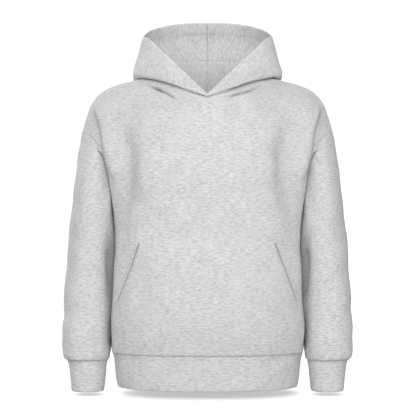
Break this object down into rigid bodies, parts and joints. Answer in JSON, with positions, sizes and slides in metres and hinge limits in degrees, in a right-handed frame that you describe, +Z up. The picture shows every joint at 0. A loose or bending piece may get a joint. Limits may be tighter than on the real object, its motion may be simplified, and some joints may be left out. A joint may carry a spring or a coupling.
{
  "type": "pullover hoodie",
  "caption": "Light grey marl pullover hoodie filled out as if worn, hood down, long sleeves, plain folded cuffs and hem band, and a front pocket.",
  "frame": {"origin": "middle of the neck opening, level with the top of the shoulders where a wearer's shoulders hold the garment up", "axes": "+Z up, the front faces -Y, +X is the right-hand side of a person looking at the front (the wearer's left)"},
  "size_m": [0.607, 0.2946, 0.7825],
  "materials": {
    "body_fleece": "matt brushed-back cotton marl",
    "band_fleece": "matt brushed-back cotton marl",
    "hood_fleece": "matt brushed-back cotton marl"
  },
  "bodies": {
    "root": {"front_panel": "body_fleece", "back_panel": "body_fleece", "kangaroo_pocket": "body_fleece", "hem_band": "band_fleece", "sleeve_right": "body_fleece", "sleeve_left": "body_fleece", "cuff_right": "band_fleece", "cuff_left": "band_fleece", "hood_right": "hood_fleece", "hood_left": "hood_fleece"}
  },
  "joints": []
}
